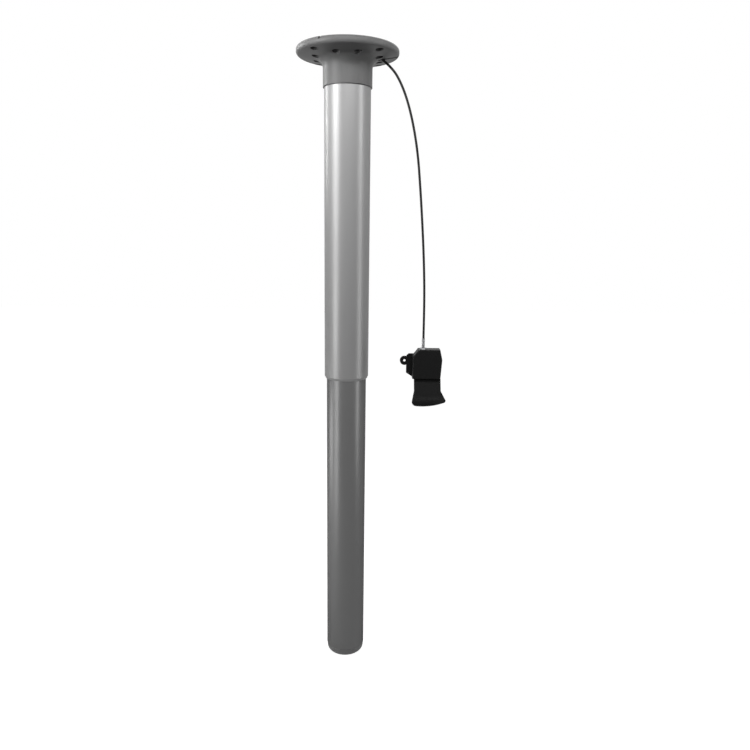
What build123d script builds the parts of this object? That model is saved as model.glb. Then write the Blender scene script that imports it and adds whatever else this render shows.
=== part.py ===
"""Telescopic desk leg: a two-tube column round a lockable gas spring, with a cable release.

Millimetres, +Z up, with the leg fully raised. The origin is on the column's axis, at the lower
face of the foot. The release cable leaves the flange on the +X side, and -Y is the front.
"""
from build123d import *
import os
from math import asin, atan2, cos, pi, radians, sin, tan

os.makedirs("parts", exist_ok=True)

# Fits: radial clearance between pieces fixed together, and between pieces that slide or turn
fixed_fit = 0.02
running_fit = 0.05
thread_runout = 1.0

# Column tubes
stroke = 340.0
lowered_gap = 170.0
upper_tube_r = 38.0
upper_tube_wall = 2.5
upper_end_bevel_width = 2.2
upper_end_bevel_height = 4.3
lower_tube_r = 34.25
lower_tube_wall = 3.0
lower_end_bevel = 0.8

# Key and groove that stop the tubes turning, inside the upper tube at the back
key_width = 8.0
key_depth = 1.0

# Guides and buffers between the tubes
bush_length = 50.0
extension_buffer_length = 6.0
extension_gap = 3.5
guide_length = 36.0
guide_lip = 4.0
guide_plug_length = 12.0
guide_plug_wall = 2.5
lowering_gap = 1.5
lowering_buffer_length = 6.0
buffer_side_gap = 0.3

# Foot
foot_height = 14.0
foot_r = 33.4
foot_round = 9.0
foot_plug_top = 40.0
foot_plug_wall = 4.0
foot_floor = 18.0
foot_hub_wall = 5.0
foot_ribs = 4
foot_rib_thickness = 4.0
foot_bolts = 4
foot_bolt_circle_r = 16.0
foot_bolt_angle = 45.0
foot_thread_r = 3.4
foot_thread_depth = 14.0

# Bolt and washer that hold the gas spring in the foot
base_bolt_r = 5.0
base_bolt_head_r = 8.0
base_bolt_head_height = 10.0
base_bolt_recess = 0.6
base_bolt_length = 23.4
base_bolt_hole_gap = 0.3
base_bolt_socket = 8.0
base_bolt_socket_depth = 5.0
base_washer_thickness = 2.0
base_counterbore_r = 9.0

# Flange
flange_r = 82.7
flange_height = 60.0
rim_thickness = 11.4
rim_round = 5.0
underside_slope = 9.6
neck_r = 40.0
neck_flare = 15.0
neck_edge_round = 0.8
spigot_length = 30.0
spigot_wall = 5.0
pocket_r = 43.0
pocket_depth = 14.0

# Bolt holes in the flange: the outside row of a square grid
hole_square = 100.0
holes_per_side = 4
bolt_hole_r = 3.5
counterbore_r = 6.5
bolt_seat_thickness = 5.0

# Cable slot in the flange, and the grooves across its top for other ways out
slot_width = 6.0
slot_lead = 7.7
groove_angles = (120.0, 240.0)
groove_width = 4.4
groove_depth = 5.0

# Gas spring
cylinder_r = 14.0
cylinder_wall = 1.5
cylinder_lip = 2.0
cylinder_mouth_r = 10.0
cylinder_base_length = 22.0
cylinder_base_cover = 4.0
gland_length = 18.0
seal_r = 8.0
rod_seal_length = 4.0
wiper_length = 3.0
rod_r = 5.0
release_pin_r = 2.0
release_pin_round = 1.8
rod_nut_thickness = 5.0
rod_nut_flats = 17.0
rod_nut_gap = 6.0
piston_length = 18.0
piston_gap = 5.0
piston_side_gap = 0.1
piston_ring_width = 3.0
piston_ring_depth = 2.0
valve_r = 4.0
valve_length = 5.5
valve_chamber = 6.0
floating_piston_z = 180.0
floating_piston_length = 15.0
centring_ring_drop = 60.0
centring_ring_length = 12.0
centring_holes = 6
centring_hole_r = 5.0

# Release mechanism in the flange
plate_thickness = 3.0
plate_edge_gap = 0.3
plate_hole_gap = 0.3
head_height = 28.0
head_length = 30.0
head_width = 24.0
head_corner_r = 3.0
head_middle_x = -3.0
head_slot_width = 7.0
head_slot_floor = 12.0
head_pin_gap = 0.3
rod_engagement = 10.0
lever_thickness = 6.0
lever_arm = 18.0
nose_arm = 12.0
lever_hub_r = 5.0
lever_tip_r = 4.2
nose_r = 3.0
nose_gap = 0.3
lever_pin_r = 2.5
window_margin = 1.6
tab_inner_x = 20.0
tab_half_width = 9.0
tab_height = 13.5

# Screws of the release mechanism
small_screw_r = 2.5
small_screw_head_r = 4.75
small_screw_head_height = 2.8
small_screw_head_round = 2.0
small_screw_socket = 3.0
small_screw_socket_depth = 1.9
plate_screws_count = 3
plate_screw_inset = 7.7
plate_screw_angle = 60.0
plate_screw_length = 13.0
head_screw_x = 6.0
head_screw_y = 7.75
head_screw_length = 14.0

# Cable and its fittings
cable_r = 2.0
wire_r = 0.75
wire_bore_r = 1.1
wire_slot_width = 2.4
wire_slot_height = 6.0
nipple_r = 2.0
nipple_gap = 0.3
lever_nipple_length = 6.0
paddle_nipple_length = 8.0
adjuster_r = 2.9
thread_pitch = 1.0
thread_depth = 0.4
adjuster_nut_flats = 10.0
adjuster_nut_thickness = 3.0
nut_to_plate = 0.3
adjuster_inner_x = 10.0
adjuster_outer_x = 34.0
lead_in_straight = 0.3
bend_share = 0.45
grommet_length = 9.0
grommet_side_gap = 0.05
grommet_bore_gap = 0.1
grommet_top_gap = 1.0
grommet_height = 14.8
grommet_overrun = 8.0

# Release handle, placed from the cable's lower end: side is along X, drop is below its top
adjuster_showing = 19.9
adjuster_in_handle = 10.0
housing_left = -18.0
housing_top_right = 29.5
housing_right = 33.5
housing_bottom_right = 31.0
housing_shoulder_drop = 18.0
housing_cut_side = 10.0
housing_cut_drop = 13.0
housing_height = 52.0
housing_front = -8.0
housing_back = 15.0
housing_wall = 2.5
housing_round = 2.0
cavity_left = -14.0
cavity_right = 18.0
cavity_drop = 14.0
wing_left = -28.3
wing_thickness = 4.0
wing_top_drop = 9.7
wing_bottom_drop = 44.0
wing_corner = 4.0
lug_side = -31.6
lug_drop = 22.2
lug_r = 8.0
handle_hole_spacing = 57.6
handle_hole_r = 2.2
handle_peg_depth = 9.0
back_plate_thickness = 2.5
back_plate_lap = 3.0
back_plate_drop = 3.0
back_plate_gap = 0.1
back_screw_sides = (-5.0, 14.0)
back_screw_drop = 7.5
back_screw_r = 1.5
back_screw_length = 8.0
back_screw_head_r = 2.5
back_screw_head_height = 1.5

# Squeeze paddle: reach is measured from its pivot, down the blade
paddle_pivot_drop = 38.0
paddle_pin_r = 1.5
paddle_pin_hold = 3.8
paddle_hub_r = 3.2
paddle_arm = 9.0
paddle_arm_width = 10.0
paddle_arm_tip_r = 4.0
paddle_slot_lean = 1.5
paddle_angle = 24.0
paddle_tilt = 25.0
paddle_thickness = 4.0
paddle_side_gap = 1.0
paddle_shoulder_gap = 1.498
paddle_left = -14.8
paddle_right = 32.0
paddle_waist_left = 38.0
paddle_waist_right = 39.0
paddle_flare_left = -20.5
paddle_flare_right = 41.4
paddle_end_left = 65.6
paddle_end_right = 58.0
paddle_end_r = 107.0
paddle_corner_left_r = 8.0
paddle_corner_right_r = 3.6
lip_start = 48.0
lip_bend_r = 29.0
lip_angle = 46.0
paddle_rib_height = 3.5
paddle_rib_width = 2.0
paddle_rib_sides = (-8.0, 8.6, 25.0)
paddle_rib_margin = 2.0

# Centreline of the free cable, from the flange to the handle, as (x, z) in the plane y = 0
cable_points = [
    (55.7, 1045.1),
    (71.5, 1033.0),
    (84.5, 1014.0),
    (96.5, 986.5),
    (107.5, 948.0),
    (116.4, 900.0),
    (121.8, 845.0),
    (126.6, 788.0),
    (130.4, 733.0),
    (132.9, 680.0),
    (133.5, 630.0),
    (133.5, 595.3),
]

# Radii and heights that follow from the sizes above
upper_bore_r = upper_tube_r - upper_tube_wall
lower_bore_r = lower_tube_r - lower_tube_wall
key_r = upper_bore_r + key_depth
upper_tube_z = foot_height + lowered_gap + stroke
bush_top = upper_tube_z + bush_length
buffer_top = bush_top + extension_buffer_length
guide_z = buffer_top + extension_gap
lower_tube_top = guide_z + guide_length
guide_top = lower_tube_top + guide_lip
lowering_buffer_z = guide_top + stroke + lowering_gap
spigot_z = lowering_buffer_z + lowering_buffer_length
seam_z = spigot_z + spigot_length
flange_top = seam_z + flange_height
rim_underside = flange_top - rim_thickness
neck_underside = rim_underside - (flange_r - neck_r) * tan(radians(underside_slope))
bolt_cut_z = neck_underside - neck_flare
pocket_floor = flange_top - pocket_depth
neck_bore_r = upper_bore_r - spigot_wall
plate_top = pocket_floor + plate_thickness
tab_outer_x = tab_inner_x + plate_thickness
cable_line_z = plate_top + adjuster_nut_flats / 2 + nut_to_plate
head_z = pocket_floor - head_height
rod_top = head_z + rod_engagement
rod_nut_z = head_z - rod_nut_thickness
cylinder_top = rod_nut_z - stroke - rod_nut_gap
cylinder_bore_r = cylinder_r - cylinder_wall
gland_top = cylinder_top - cylinder_lip
gland_z = gland_top - gland_length
piston_top = gland_z - piston_gap
piston_z = piston_top - piston_length
rod_z = piston_z + valve_chamber

# Release motion: the paddle's swing sets the cable's travel and the lever's swing
half_paddle = radians(paddle_angle / 2)
cable_travel = 2 * paddle_arm * sin(half_paddle)
half_lever = asin(cable_travel / 2 / lever_arm)
lever_swing = lever_arm * sin(half_lever)
pivot_x = -nose_arm * cos(half_lever)
pivot_z = cable_line_z - lever_arm * cos(half_lever)
lever_nipple_x = pivot_x - lever_swing
nose_z = pivot_z + nose_arm * sin(half_lever)
pin_top = nose_z - nose_r - nose_gap

# Places in the handle
cable_exit_x, cable_exit_z = cable_points[0]
slot_inner_r = cable_exit_x - slot_lead
handle_x, cable_end_z = cable_points[-1]
handle_top = cable_end_z - adjuster_showing
handle_depth = housing_back - housing_front
paddle_pivot_y = paddle_arm * cos(half_paddle)
paddle_pivot_z = handle_top - paddle_pivot_drop
paddle_nipple_z = paddle_pivot_z + paddle_arm * sin(half_paddle)
paddle_clear_drop = housing_height + paddle_shoulder_gap - paddle_pivot_drop
paddle_shoulder = paddle_clear_drop / cos(radians(paddle_tilt))


def ring(inner_r, outer_r, low, high):
    """A plain ring round the column's axis, from one height to another."""
    with BuildPart() as piece:
        with BuildSketch(Plane.XY.offset(low)):
            Circle(outer_r)
            Circle(inner_r, mode=Mode.SUBTRACT)
        extrude(amount=high - low)
    return piece


def turned(points):
    """A piece turned on the column's axis from a closed outline of (radius, height) points."""
    with BuildPart() as piece:
        with BuildSketch(Plane.XZ):
            with BuildLine():
                Polyline(*points, close=True)
            make_face()
        revolve(axis=Axis.Z)
    return piece


def at_radius(r, count, first_angle):
    """Points evenly spaced on a circle round the column's axis."""
    angles = [radians(first_angle + 360 / count * i) for i in range(count)]
    return [(r * cos(a), r * sin(a)) for a in angles]


def button_screws(spots, seat_z, length):
    """Button-head screws that point down, one at each spot, with their heads on a seat."""
    head_top = seat_z + small_screw_head_height
    with BuildPart() as screws:
        with BuildSketch(Plane.XY.offset(seat_z)):
            with Locations(*spots):
                Circle(small_screw_head_r)
        extrude(amount=small_screw_head_height)
        fillet(screws.edges().group_by(Axis.Z)[-1], small_screw_head_round)
        with BuildSketch(Plane.XY.offset(seat_z)):
            with Locations(*spots):
                Circle(small_screw_r)
        extrude(amount=-length)
        with BuildSketch(Plane.XY.offset(head_top)):
            with Locations(*spots):
                RegularPolygon(small_screw_socket / 2, 6, major_radius=False)
        extrude(amount=-small_screw_socket_depth, mode=Mode.SUBTRACT)
    return screws


def hex_nut(plane, flats, thickness, bore_r):
    """A hexagon nut that stands on a plane."""
    with BuildPart() as nut:
        with BuildSketch(plane):
            RegularPolygon(flats / 2, 6, major_radius=False)
            Circle(bore_r, mode=Mode.SUBTRACT)
        extrude(amount=thickness)
    return nut


def threaded_barrel(start, along, across, length):
    """A hollow cable adjuster with thread rings, from its start point along a direction."""
    thread = [(adjuster_r, 0)]
    for turn in range(int(length / thread_pitch) - 1):
        crest = (turn + 0.5) * thread_pitch
        thread.append((adjuster_r, crest))
        thread.append((adjuster_r - thread_depth, crest + thread_pitch / 2))
    thread.append((adjuster_r, length - thread_pitch / 4))
    thread.append((adjuster_r, length))
    with BuildPart() as barrel:
        with BuildSketch(Plane(origin=start, x_dir=across, z_dir=Vector(across).cross(Vector(along)))):
            with BuildLine():
                Polyline((wire_bore_r, 0), *thread, (wire_bore_r, length), close=True)
            make_face()
        revolve(axis=Axis(start, along))
    return barrel


def half_turns(points):
    """Half of the angle that a route turns through at each of its corners."""
    headings = [atan2(b[1] - a[1], b[0] - a[0]) for a, b in zip(points, points[1:])]
    return [abs(after - before) / 2 for before, after in zip(headings, headings[1:])]


def runs(points):
    """Lengths of a route's straight runs, from point to point."""
    return [(Vector(*b) - Vector(*a)).length for a, b in zip(points, points[1:])]


def round_tube(points, radii, r):
    """A round bar in the plane y = 0, along straight runs joined by tangent arcs."""
    start = Vector(points[0][0], 0, points[0][1])
    heading = Vector(points[1][0], 0, points[1][1]) - start
    with BuildPart() as tube:
        with BuildLine(Plane.XZ) as path:
            FilletPolyline(*points, radius=radii)
        with BuildSketch(Plane(origin=start, z_dir=heading)):
            Circle(r)
        sweep()
    length = sum(edge.length for edge in path.edges())
    solid = pi * r * r * length
    print(f"tube r {r}: length {length:.1f}, volume {tube.part.volume:.1f}, expected {solid:.1f}")
    return tube


# Upper tube, with a bevelled lower end and the key groove inside
key_middle_y = (upper_bore_r - key_depth + key_r) / 2
with BuildPart() as upper_tube:
    with BuildSketch(Plane.XZ):
        with BuildLine():
            Polyline(
                (upper_bore_r, upper_tube_z),
                (upper_tube_r - upper_end_bevel_width, upper_tube_z),
                (upper_tube_r, upper_tube_z + upper_end_bevel_height),
                (upper_tube_r, seam_z),
                (upper_bore_r, seam_z),
                close=True,
            )
        make_face()
    revolve(axis=Axis.Z)
    with BuildSketch(Plane.XY.offset(upper_tube_z)):
        with Locations((0, key_middle_y)):
            Rectangle(key_width, 2 * key_depth)
    extrude(amount=seam_z - upper_tube_z, mode=Mode.SUBTRACT)

# Guide bush in the upper tube's lower end, keyed to the groove, and the buffer on it
with BuildPart() as guide_bush:
    with BuildSketch(Plane.XY.offset(upper_tube_z)):
        Circle(upper_bore_r - fixed_fit)
        with Locations((0, key_middle_y - fixed_fit)):
            Rectangle(key_width - 2 * fixed_fit, 2 * key_depth)
        Circle(lower_tube_r + running_fit, mode=Mode.SUBTRACT)
    extrude(amount=bush_length)
extension_buffer = ring(
    lower_tube_r + buffer_side_gap, upper_bore_r - buffer_side_gap, bush_top, buffer_top
)
lowering_buffer = ring(neck_bore_r, upper_bore_r - buffer_side_gap, lowering_buffer_z, spigot_z)

# Lower tube, and the guide ring on its upper end with the key that runs in the groove
lower_tube = turned(
    [
        (lower_bore_r, foot_height),
        (lower_tube_r - lower_end_bevel, foot_height),
        (lower_tube_r, foot_height + lower_end_bevel),
        (lower_tube_r, lower_tube_top),
        (lower_bore_r, lower_tube_top),
    ]
)
guide_plug_r = lower_bore_r - fixed_fit
with BuildPart() as guide_ring:
    with BuildSketch(Plane.XY.offset(guide_z)):
        Circle(upper_bore_r - running_fit)
        with Locations((0, key_middle_y - running_fit)):
            Rectangle(key_width - 2 * running_fit, 2 * key_depth)
    extrude(amount=guide_top - guide_z)
    with BuildSketch(Plane.XY.offset(guide_z)):
        Circle(lower_tube_r + fixed_fit)
    extrude(amount=guide_length, mode=Mode.SUBTRACT)
    with BuildSketch(Plane.XY.offset(lower_tube_top)):
        Circle(guide_plug_r)
    extrude(amount=-guide_plug_length)
    with BuildSketch(Plane.XY.offset(guide_top)):
        Circle(guide_plug_r - guide_plug_wall)
    extrude(amount=guide_z - guide_top, mode=Mode.SUBTRACT)

# Foot: a rounded cap below the tube, a plug in it and a socket for the gas spring
base_bolt_top = base_bolt_recess + base_bolt_head_height
base_bolt_seat = base_bolt_top + base_washer_thickness
foot_plug_r = lower_bore_r - fixed_fit
with BuildPart() as foot_cap:
    with BuildSketch(Plane.XY):
        Circle(foot_r)
    extrude(amount=foot_height)
    fillet(foot_cap.edges().sort_by(Axis.Z)[0], foot_round)
    with BuildSketch(Plane.XY.offset(foot_height)):
        Circle(foot_plug_r)
    extrude(amount=foot_plug_top - foot_height)
    with BuildSketch(Plane.XY.offset(foot_plug_top)):
        Circle(foot_plug_r - foot_plug_wall)
        Circle(cylinder_r + foot_hub_wall, mode=Mode.SUBTRACT)
        with PolarLocations(foot_plug_r / 2, foot_ribs):
            Rectangle(foot_plug_r, foot_rib_thickness, mode=Mode.SUBTRACT)
    extrude(amount=foot_floor - foot_plug_top, mode=Mode.SUBTRACT)
    with BuildSketch(Plane.XY.offset(foot_plug_top)):
        Circle(cylinder_r + fixed_fit)
    extrude(amount=foot_floor - foot_plug_top, mode=Mode.SUBTRACT)
    with BuildSketch(Plane.XY):
        with Locations(*at_radius(foot_bolt_circle_r, foot_bolts, foot_bolt_angle)):
            Circle(foot_thread_r)
    extrude(amount=foot_thread_depth, mode=Mode.SUBTRACT)
    with BuildSketch(Plane.XY):
        Circle(base_counterbore_r)
    extrude(amount=base_bolt_seat, mode=Mode.SUBTRACT)
    with BuildSketch(Plane.XY):
        Circle(base_bolt_r + base_bolt_hole_gap)
    extrude(amount=foot_floor, mode=Mode.SUBTRACT)

# Bolt and washer that hold the gas spring in the foot
with BuildPart() as base_bolt:
    with BuildSketch(Plane.XY.offset(base_bolt_recess)):
        Circle(base_bolt_head_r)
    extrude(amount=base_bolt_head_height)
    with BuildSketch(Plane.XY.offset(base_bolt_recess)):
        RegularPolygon(base_bolt_socket / 2, 6, major_radius=False)
    extrude(amount=base_bolt_socket_depth, mode=Mode.SUBTRACT)
    with BuildSketch(Plane.XY.offset(base_bolt_top)):
        Circle(base_bolt_r)
    extrude(amount=base_bolt_length)
base_washer = ring(base_bolt_r + running_fit, base_bolt_head_r, base_bolt_top, base_bolt_seat)

# Flange: plate, neck and spigot in one casting, with a pocket for the release mechanism
pitch = hole_square / (holes_per_side - 1)
steps = [hole_square / 2 - pitch * i for i in range(holes_per_side)]
bolt_spots = [(x, y) for x in steps for y in steps if max(abs(x), abs(y)) > (hole_square - pitch) / 2]
plate_spots = at_radius(pocket_r - plate_screw_inset, plate_screws_count, plate_screw_angle)
with BuildPart() as top_flange:
    with BuildSketch(Plane.XZ) as flange_section:
        with BuildLine():
            Polyline(
                (neck_bore_r, spigot_z),
                (upper_bore_r - fixed_fit, spigot_z),
                (upper_bore_r - fixed_fit, seam_z),
                (neck_r, seam_z),
                (neck_r, neck_underside),
                (flange_r, rim_underside),
                (flange_r, flange_top),
                (pocket_r, flange_top),
                (pocket_r, pocket_floor),
                (neck_bore_r, pocket_floor),
                close=True,
            )
        make_face()
        fillet(flange_section.vertices().group_by(Axis.X)[-1], rim_round)
        neck_corners = [v for v in flange_section.vertices() if abs(v.X - neck_r) < fixed_fit]
        fillet(neck_corners[0] if neck_corners[0].Y > neck_corners[1].Y else neck_corners[1], neck_flare)
    revolve(axis=Axis.Z)
    neck_edge = top_flange.edges().filter_by_position(Axis.Z, seam_z - fixed_fit, seam_z + fixed_fit)
    fillet(neck_edge.sort_by(SortBy.RADIUS)[-1], neck_edge_round)
    # Counterbored bolt holes, cut from below the neck's flare
    with Locations(Plane(origin=(0, 0, bolt_cut_z), x_dir=(1, 0, 0), z_dir=(0, 0, -1))):
        with Locations(*bolt_spots):
            CounterBoreHole(
                radius=bolt_hole_r,
                counter_bore_radius=counterbore_r,
                counter_bore_depth=flange_top - bolt_seat_thickness - bolt_cut_z,
                depth=flange_height,
            )
    # Slot through the rim for the cable, with a channel in from the pocket
    slot_length = flange_r + slot_width - slot_inner_r
    with BuildSketch(Plane.XY.offset(flange_top)):
        with Locations((slot_inner_r + slot_length / 2, 0)):
            SlotOverall(slot_length, slot_width)
    extrude(amount=neck_underside - flange_top, mode=Mode.SUBTRACT)
    channel_length = slot_inner_r + slot_width - pocket_r
    with BuildSketch(Plane.XY.offset(flange_top)):
        with Locations((pocket_r + channel_length / 2 - slot_width / 2, 0)):
            Rectangle(channel_length, slot_width)
    extrude(amount=-pocket_depth, mode=Mode.SUBTRACT)
    # Grooves across the top face, from the pocket to the rim
    groove_length = flange_r - pocket_r + 2 * groove_width
    groove_spots = [at_radius((flange_r + pocket_r) / 2, 1, angle)[0] for angle in groove_angles]
    with BuildSketch(Plane.XY.offset(flange_top)):
        for spot, angle in zip(groove_spots, groove_angles):
            with Locations(Location((*spot, 0), (0, 0, angle))):
                Rectangle(groove_length, groove_width)
    extrude(amount=-groove_depth, mode=Mode.SUBTRACT)
    # Tapped holes for the carrier plate's screws
    with BuildSketch(Plane.XY.offset(pocket_floor)):
        with Locations(*plate_spots):
            Circle(small_screw_r + fixed_fit)
    extrude(amount=plate_thickness - plate_screw_length - thread_runout, mode=Mode.SUBTRACT)

# Carrier plate: a pressed disc with a bent tab for the cable's adjuster
head_spots = [(head_screw_x, head_screw_y), (head_screw_x, -head_screw_y)]
adjuster_plane = Plane(origin=(0, 0, cable_line_z), x_dir=(0, 1, 0), z_dir=(1, 0, 0))
window_x0 = pivot_x - lever_swing - lever_tip_r - window_margin
window_x1 = pivot_x + lever_swing + lever_tip_r + window_margin
relief_length = tab_height - plate_thickness
with BuildPart() as carrier_plate:
    with BuildSketch(Plane.XY.offset(pocket_floor)):
        Circle(pocket_r - plate_edge_gap)
        with Locations(((window_x0 + window_x1) / 2, 0)):
            Rectangle(window_x1 - window_x0, lever_thickness + 2 * window_margin, mode=Mode.SUBTRACT)
        with Locations((tab_outer_x + relief_length / 2, 0)):
            Rectangle(relief_length, 2 * tab_half_width, mode=Mode.SUBTRACT)
        with Locations(*plate_spots, *head_spots):
            Circle(small_screw_r + plate_hole_gap, mode=Mode.SUBTRACT)
    extrude(amount=plate_thickness)
    with BuildSketch(Plane.XY.offset(pocket_floor)):
        with Locations((tab_inner_x + plate_thickness / 2, 0)):
            Rectangle(plate_thickness, 2 * tab_half_width)
    extrude(amount=tab_height)
    with BuildSketch(adjuster_plane.offset(tab_inner_x)):
        Circle(adjuster_r + fixed_fit)
    extrude(amount=plate_thickness, mode=Mode.SUBTRACT)
plate_screws = button_screws(plate_spots, plate_top, plate_screw_length)
head_screws = button_screws(head_spots, plate_top, head_screw_length)

# Release head under the plate, with a slot for the lever and threads for the rod and screws
head_slot_right = nose_r + window_margin
with BuildPart() as release_head:
    with BuildSketch(Plane.XY.offset(head_z)):
        with Locations((head_middle_x, 0)):
            RectangleRounded(head_length, head_width, head_corner_r)
    extrude(amount=head_height)
    with BuildSketch(Plane.XY.offset(pocket_floor)):
        with Locations(((window_x0 + head_slot_right) / 2, 0)):
            Rectangle(head_slot_right - window_x0, head_slot_width)
    extrude(amount=head_slot_floor - head_height, mode=Mode.SUBTRACT)
    with BuildSketch(Plane.XY.offset(head_z)):
        Circle(rod_r + fixed_fit)
    extrude(amount=rod_engagement, mode=Mode.SUBTRACT)
    with BuildSketch(Plane.XY.offset(head_z)):
        Circle(release_pin_r + head_pin_gap)
    extrude(amount=head_slot_floor, mode=Mode.SUBTRACT)
    with BuildSketch(Plane.XZ):
        with Locations((pivot_x, pivot_z)):
            Circle(lever_pin_r + fixed_fit)
    extrude(amount=head_width, both=True, mode=Mode.SUBTRACT)
    with BuildSketch(Plane.XY.offset(pocket_floor)):
        with Locations(*head_spots):
            Circle(small_screw_r + fixed_fit)
    extrude(amount=plate_thickness - head_screw_length - thread_runout, mode=Mode.SUBTRACT)
rod_lock_nut = hex_nut(
    Plane.XY.offset(rod_nut_z), rod_nut_flats, rod_nut_thickness, rod_r + fixed_fit
)
with BuildPart() as lever_pivot_pin:
    with BuildSketch(Plane.XZ):
        with Locations((pivot_x, pivot_z)):
            Circle(lever_pin_r)
    extrude(amount=head_width / 2, both=True)

# Release lever: the cable pulls its upper arm, and its nose presses the gas spring's pin
with BuildPart() as release_lever:
    with BuildSketch(Plane.XZ):
        with Locations((pivot_x, pivot_z)):
            Circle(lever_hub_r)
        with Locations((lever_nipple_x, cable_line_z)):
            Circle(lever_tip_r)
        make_hull()
    extrude(amount=lever_thickness / 2, both=True)
    with BuildSketch(Plane.XZ):
        with Locations((pivot_x, pivot_z), (0, nose_z)):
            Circle(nose_r)
        make_hull()
    extrude(amount=lever_thickness / 2, both=True)
    with BuildSketch(Plane.XZ):
        with Locations((pivot_x, pivot_z)):
            Circle(lever_pin_r + running_fit)
        with Locations((lever_nipple_x, cable_line_z)):
            Circle(nipple_r + nipple_gap)
    extrude(amount=lever_thickness, both=True, mode=Mode.SUBTRACT)
    with BuildSketch(Plane.XZ):
        with Locations((lever_nipple_x + lever_tip_r, cable_line_z)):
            Rectangle(2 * lever_tip_r, wire_slot_height)
    extrude(amount=wire_slot_width / 2, both=True, mode=Mode.SUBTRACT)

# Inner wire's end at the lever, with its barrel nipple
with BuildPart() as lever_wire_end:
    with BuildSketch(Plane.XZ):
        with Locations((lever_nipple_x, cable_line_z)):
            Circle(nipple_r)
    extrude(amount=lever_nipple_length / 2, both=True)
    with BuildSketch(adjuster_plane.offset(lever_nipple_x)):
        Circle(wire_r)
    extrude(amount=tab_outer_x - lever_nipple_x)

# Gas spring: cylinder and base plug
cylinder_tube = turned(
    [
        (cylinder_bore_r, foot_floor),
        (cylinder_r, foot_floor),
        (cylinder_r, cylinder_top),
        (cylinder_mouth_r, cylinder_top),
        (cylinder_mouth_r, gland_top),
        (cylinder_bore_r, gland_top),
    ]
)
with BuildPart() as cylinder_base:
    with BuildSketch(Plane.XY.offset(foot_floor)):
        Circle(cylinder_bore_r - fixed_fit)
    extrude(amount=cylinder_base_length)
    with BuildSketch(Plane.XY.offset(foot_floor)):
        Circle(base_bolt_r + fixed_fit)
    extrude(amount=cylinder_base_length - cylinder_base_cover, mode=Mode.SUBTRACT)

# Gas spring: rod guide with its seal and wiper
rod_gland = turned(
    [
        (seal_r, gland_z),
        (cylinder_bore_r - fixed_fit, gland_z),
        (cylinder_bore_r - fixed_fit, gland_top),
        (seal_r, gland_top),
        (seal_r, gland_top - wiper_length),
        (rod_r + running_fit, gland_top - wiper_length),
        (rod_r + running_fit, gland_z + rod_seal_length),
        (seal_r, gland_z + rod_seal_length),
    ]
)
rod_seal = ring(rod_r + running_fit, seal_r - fixed_fit, gland_z, gland_z + rod_seal_length)
rod_wiper = ring(rod_r + running_fit, seal_r - fixed_fit, gland_top - wiper_length, gland_top)

# Gas spring: hollow rod, release pin and valve
piston_rod = ring(release_pin_r + running_fit, rod_r, rod_z, rod_top)
with BuildPart() as release_pin:
    with BuildSketch(Plane.XY.offset(rod_z)):
        Circle(release_pin_r)
    extrude(amount=pin_top - rod_z)
    fillet(release_pin.edges().sort_by(Axis.Z)[-1], release_pin_round)
with BuildPart() as valve_plunger:
    with BuildSketch(Plane.XY.offset(rod_z)):
        Circle(valve_r)
    extrude(amount=-valve_length)


def grooved(low, high, inner):
    """Outline of a piston with one ring groove, closed by its inner points."""
    piston_r = cylinder_bore_r - piston_side_gap
    groove_r = piston_r - piston_ring_depth
    middle = (low + high) / 2
    return [
        (piston_r, low),
        (piston_r, middle - piston_ring_width / 2),
        (groove_r, middle - piston_ring_width / 2),
        (groove_r, middle + piston_ring_width / 2),
        (piston_r, middle + piston_ring_width / 2),
        (piston_r, high),
        *inner,
    ]


def groove_seal(low, high):
    """The seal in a piston's groove."""
    inner_r = cylinder_bore_r - piston_side_gap - piston_ring_depth + fixed_fit
    middle = (low + high) / 2
    half = piston_ring_width / 2 - fixed_fit
    return ring(inner_r, cylinder_bore_r - running_fit, middle - half, middle + half)


# Gas spring: piston on the rod, floating piston between oil and gas, and their seals
piston_inside = [
    (rod_r + fixed_fit, piston_top),
    (rod_r + fixed_fit, rod_z),
    (valve_r + running_fit, rod_z),
    (valve_r + running_fit, piston_z),
]
piston = turned(grooved(piston_z, piston_top, piston_inside))
piston_seal = groove_seal(piston_z, piston_top)
floating_top = floating_piston_z + floating_piston_length
floating_inside = [(0, floating_top), (0, floating_piston_z)]
floating_piston = turned(grooved(floating_piston_z, floating_top, floating_inside))
floating_seal = groove_seal(floating_piston_z, floating_top)

# Ring that centres the gas spring in the lower tube
centring_z = lower_tube_top - centring_ring_drop
with BuildPart() as centring_ring:
    with BuildSketch(Plane.XY.offset(centring_z)):
        Circle(lower_bore_r - fixed_fit)
        Circle(cylinder_r + fixed_fit, mode=Mode.SUBTRACT)
        with PolarLocations((cylinder_r + lower_bore_r) / 2, centring_holes):
            Circle(centring_hole_r, mode=Mode.SUBTRACT)
    extrude(amount=centring_ring_length)

# Adjuster and its nut in the carrier plate's tab
cable_adjuster = threaded_barrel(
    (adjuster_inner_x, 0, cable_line_z), (1, 0, 0), (0, 0, 1), adjuster_outer_x - adjuster_inner_x
)
cable_adjuster_nut = hex_nut(
    adjuster_plane.offset(tab_outer_x), adjuster_nut_flats, adjuster_nut_thickness, adjuster_r + fixed_fit
)

# Cable from the adjuster to the flange's underside, where the free cable goes on in line
exit_slope = (cable_exit_z - cable_points[1][1]) / (cable_points[1][0] - cable_exit_x)
lead_in_points = [
    (adjuster_outer_x, cable_line_z),
    (cable_exit_x - (cable_line_z - cable_exit_z) / exit_slope, cable_line_z),
    (cable_exit_x, cable_exit_z),
]
lead_in_half_turn = half_turns(lead_in_points)[0]
lead_in_bend = (runs(lead_in_points)[0] - lead_in_straight) / tan(lead_in_half_turn)
print(f"lead-in bend {lead_in_bend:.1f}")
cable_lead_in = round_tube(lead_in_points, [lead_in_bend], cable_r)

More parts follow.
